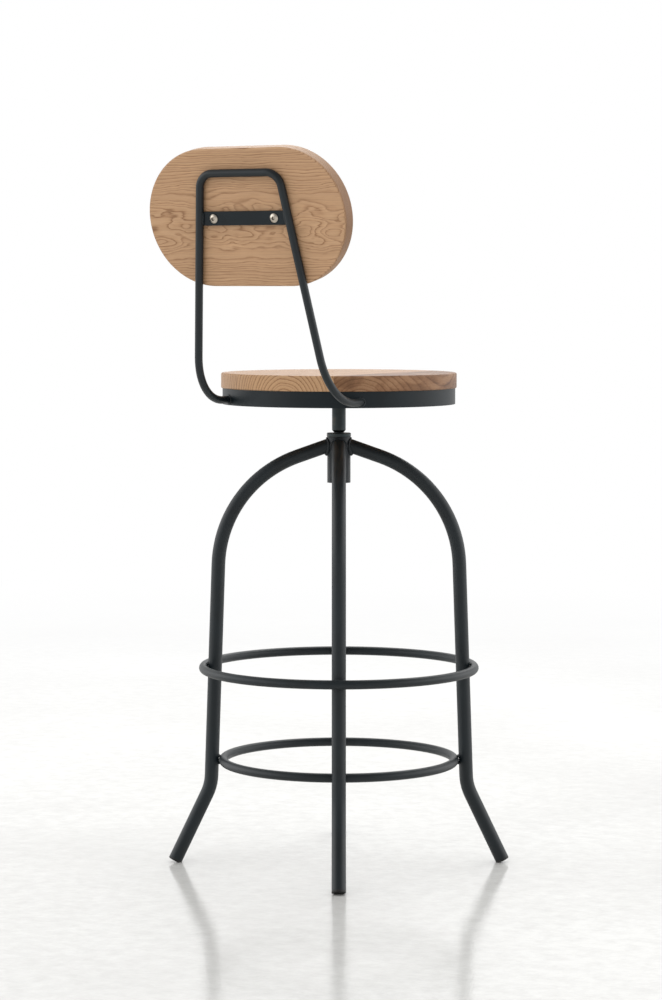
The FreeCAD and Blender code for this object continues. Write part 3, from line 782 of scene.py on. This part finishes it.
def crossbar_weld(side, word):
    tilt = Matrix.Rotation(math.pi / 2 - RECLINE, 3, "X")
    path, radii, outward = [], [], []
    for step in range(SHORT_STEPS + 1):
        share = 2 * step / SHORT_STEPS - 1
        up = share * CROSSBAR_BEAD_SHARE * CROSSBAR_HALF_HEIGHT
        spread = (CROSSBAR_BELOW_TOP - up) / UPRIGHT_LENGTH
        half = TOP_HALF_SPACING + (ARM_HALF_SPACING - TOP_HALF_SPACING) * spread
        local = Vector((side * (half - ROD_RADIUS - CROSSBAR_BEAD_GAP), up, -CROSSBAR_BEAD_DEPTH))
        path.append(tilt @ local + CROSSBAR_CENTRE)
        radii.append(CROSSBAR_BEAD * math.sqrt(max(BEAD_END, 1 - share ** 6)))
        outward.append(tilt @ Vector((-side, 0, -1)))
    return weld_bead(f"crossbar_weld_{word}", path, radii, outward, False, "seat")


for side, word in ((1, "left"), (-1, "right")):
    arm_weld(side, word)
    crossbar_weld(side, word)
print("back frame welds: 4")

# %% [markdown]
# The studio floor
#
# The stool stands on a white-painted studio floor with a soft gloss, in front of nothing but white. The
# floor's own gloss does the work: near the stool it shows grey reflections of the legs, ragged from the
# brush marks in the paint, and towards the horizon it reflects more and more of the white surroundings.
# Beyond a few metres it fades to plain white for the camera and in reflections, so that no edge shows.

# %% Floor
FLOOR_SIZE = 60.0
FADE_START = 0.5
FADE_END = 4.2
WEAR_WIDTH = 28 * MM
FLOOR_CLOUD_WIDTH = 700 * MM
BRUSH_MARK = 9 * MM
BRUSH_DEPTH = 0.7 * MM
PAINT_TONES = [(0.12, "#d8d7d4"), (0.36, "#f0f0ed")]


def painted_floor():
    material, tree, output = new_material("painted_studio_floor")
    place = add(tree, "ShaderNodeTexCoord")
    wear = add(tree, "ShaderNodeTexNoise", {"Scale": 1 / WEAR_WIDTH, "Detail": 8.0, "Roughness": 0.72},
               {"Vector": place.outputs["Object"]})
    cloud = add(tree, "ShaderNodeTexNoise", {"Scale": 1 / FLOOR_CLOUD_WIDTH, "Detail": 3.0},
                {"Vector": place.outputs["Object"]})
    both = add(tree, "ShaderNodeMath", {"operation": "MULTIPLY"},
               {0: wear.outputs["Fac"], 1: cloud.outputs["Fac"]})
    tone = add(tree, "ShaderNodeValToRGB", None, {"Fac": both})
    set_stops(tone, PAINT_TONES)
    rough = add(tree, "ShaderNodeMapRange", {"To Min": 0.03, "To Max": 0.12}, {"Value": wear.outputs["Fac"]})
    brushed = add(tree, "ShaderNodeTexNoise", {"Scale": 1 / BRUSH_MARK, "Detail": 5.0, "Roughness": 0.62},
                  {"Vector": place.outputs["Object"]})
    waves = add(tree, "ShaderNodeBump", {"Strength": 0.3, "Distance": BRUSH_DEPTH},
                {"Height": brushed.outputs["Fac"]})
    paint = add(tree, "ShaderNodeBsdfPrincipled", {"IOR": 1.5},
                {"Base Color": tone, "Roughness": rough, "Normal": waves})
    away = add(tree, "ShaderNodeVectorMath", {"operation": "LENGTH"}, {0: place.outputs["Object"]})
    far = add(tree, "ShaderNodeMapRange",
              {"interpolation_type": "SMOOTHSTEP", "From Min": FADE_START, "From Max": FADE_END},
              {"Value": away.outputs["Value"]})
    ray = add(tree, "ShaderNodeLightPath")
    seen = add(tree, "ShaderNodeMath", {"operation": "MAXIMUM"},
               {0: ray.outputs["Is Camera Ray"], 1: ray.outputs["Is Glossy Ray"]})
    shown = add(tree, "ShaderNodeMath", {"operation": "MAXIMUM"},
                {0: seen, 1: ray.outputs["Is Transmission Ray"]})
    whiteness = add(tree, "ShaderNodeMath", {"operation": "MULTIPLY"}, {0: far, 1: shown})
    white = add(tree, "ShaderNodeEmission", {"Color": WHITE, "Strength": 1.0})
    floor_look = add(tree, "ShaderNodeMixShader", None, {0: whiteness, 1: paint, 2: white})
    tree.links.new(floor_look.outputs[0], output.inputs["Surface"])
    return material


floor_shape = bmesh.new()
bmesh.ops.create_grid(floor_shape, x_segments=1, y_segments=1, size=FLOOR_SIZE / 2)
floor_mesh = bpy.data.meshes.new("studio_floor")
floor_shape.to_mesh(floor_mesh)
floor_shape.free()
floor_mesh.materials.append(painted_floor())
floor = bpy.data.objects.new("studio_floor", floor_mesh)
bpy.context.scene.collection.objects.link(floor)
print("floor of", FLOOR_SIZE, "metres")

# %% [markdown]
# The white room
#
# The world is white to the camera and plain soft light to every matt surface. In reflections it is a
# room: white behind the stool, dimmer on the camera's side and overhead, with a bright screen on either
# side. Those screens draw the light bands along the edges of the black tubes, which show that they are
# round. A lamp on each side would draw them too, but it would also bleach the edges of the boards.

# %% World
WORLD_FILL = 0.9
DIM_ROOM = 0.5
DIM_CEILING = 0.5
SIDE_SCREENS = 1.6
away_from_camera = Vector((math.sin(CAMERA_TURN), -math.cos(CAMERA_TURN), 0))
camera_right = Vector((-math.cos(CAMERA_TURN), -math.sin(CAMERA_TURN), 0))

world = bpy.data.worlds.new("white_studio")
bpy.context.scene.world = world
world.use_nodes = True
world_tree = world.node_tree
world_tree.nodes.clear()
world_output = add(world_tree, "ShaderNodeOutputWorld")
looking = add(world_tree, "ShaderNodeTexCoord").outputs["Generated"]
frontness = add(world_tree, "ShaderNodeVectorMath", {"operation": "DOT_PRODUCT", 1: -away_from_camera},
                {0: looking})
walls = add(world_tree, "ShaderNodeMapRange",
            {"interpolation_type": "SMOOTHSTEP", "From Min": -0.25, "From Max": 0.65,
             "To Min": 1.0, "To Max": DIM_ROOM},
            {"Value": frontness.outputs["Value"]})
sideways = add(world_tree, "ShaderNodeVectorMath", {"operation": "DOT_PRODUCT", 1: camera_right},
               {0: looking})
either_side = add(world_tree, "ShaderNodeMath", {"operation": "ABSOLUTE"}, {0: sideways.outputs["Value"]})
screens = add(world_tree, "ShaderNodeMapRange",
              {"interpolation_type": "SMOOTHSTEP", "From Min": 0.5, "From Max": 0.95, "To Max": SIDE_SCREENS},
              {"Value": either_side})
lit_walls = add(world_tree, "ShaderNodeMath", {"operation": "ADD"}, {0: walls, 1: screens})
height = add(world_tree, "ShaderNodeSeparateXYZ", None, {"Vector": looking})
ceiling = add(world_tree, "ShaderNodeMapRange",
              {"interpolation_type": "SMOOTHSTEP", "From Min": 0.3, "From Max": 0.9,
               "To Min": 1.0, "To Max": DIM_CEILING},
              {"Value": height.outputs["Z"]})
room = add(world_tree, "ShaderNodeMath", {"operation": "MULTIPLY"}, {0: lit_walls, 1: ceiling})
print("room made")

# %% What each ray sees
ray = add(world_tree, "ShaderNodeLightPath")
mirrored = add(world_tree, "ShaderNodeMix", {"data_type": "FLOAT", 2: WORLD_FILL},
               {0: ray.outputs["Is Glossy Ray"], 3: room})
seen = add(world_tree, "ShaderNodeMath", {"operation": "MAXIMUM"},
           {0: ray.outputs["Is Camera Ray"], 1: ray.outputs["Is Transmission Ray"]})
strength = add(world_tree, "ShaderNodeMix", {"data_type": "FLOAT", 3: 1.0}, {0: seen, 2: mirrored.outputs[0]})
surround = add(world_tree, "ShaderNodeBackground", {"Color": WHITE}, {"Strength": strength.outputs[0]})
world_tree.links.new(surround.outputs[0], world_output.inputs["Surface"])
print("world of strength", WORLD_FILL)

# %% [markdown]
# Softboxes
#
# Two large square lamps give the wood its soft shading: one high behind the stool, which lights the seat
# and the edges that face it, and a wider one on the camera's side. The second stays out of reflections,
# or it would lay a grey veil over the black steel.

# %% Softboxes
STOOL_MIDDLE = Vector((0, 0, 0.6))
# Places in metres: beyond the stool as the camera sees it, to the right, and up
BACK_PLACE = (1.9, 0.5, 2.6)
BACK_SIZE = 2.2
BACK_WATTS = 36
FRONT_PLACE = (-2.6, -1.9, 2.6)
FRONT_SIZE = 3.4
FRONT_WATTS = 28


def softbox(name, place, size, watts):
    """Square area lamp that points at the stool."""
    beyond, right, up = place
    lamp = bpy.data.lights.new(name, "AREA")
    lamp.shape = "SQUARE"
    lamp.size = size
    lamp.energy = watts
    box = bpy.data.objects.new(name, lamp)
    box.location = away_from_camera * beyond + camera_right * right + UP * up
    box.rotation_euler = (STOOL_MIDDLE - box.location).to_track_quat("-Z", "Y").to_euler()
    bpy.context.scene.collection.objects.link(box)
    return box


back_softbox = softbox("back_softbox", BACK_PLACE, BACK_SIZE, BACK_WATTS)
front_softbox = softbox("front_softbox", FRONT_PLACE, FRONT_SIZE, FRONT_WATTS)
front_softbox.visible_glossy = False
for box in (back_softbox, front_softbox):
    print(box.name, "at", [round(value, 2) for value in box.location])
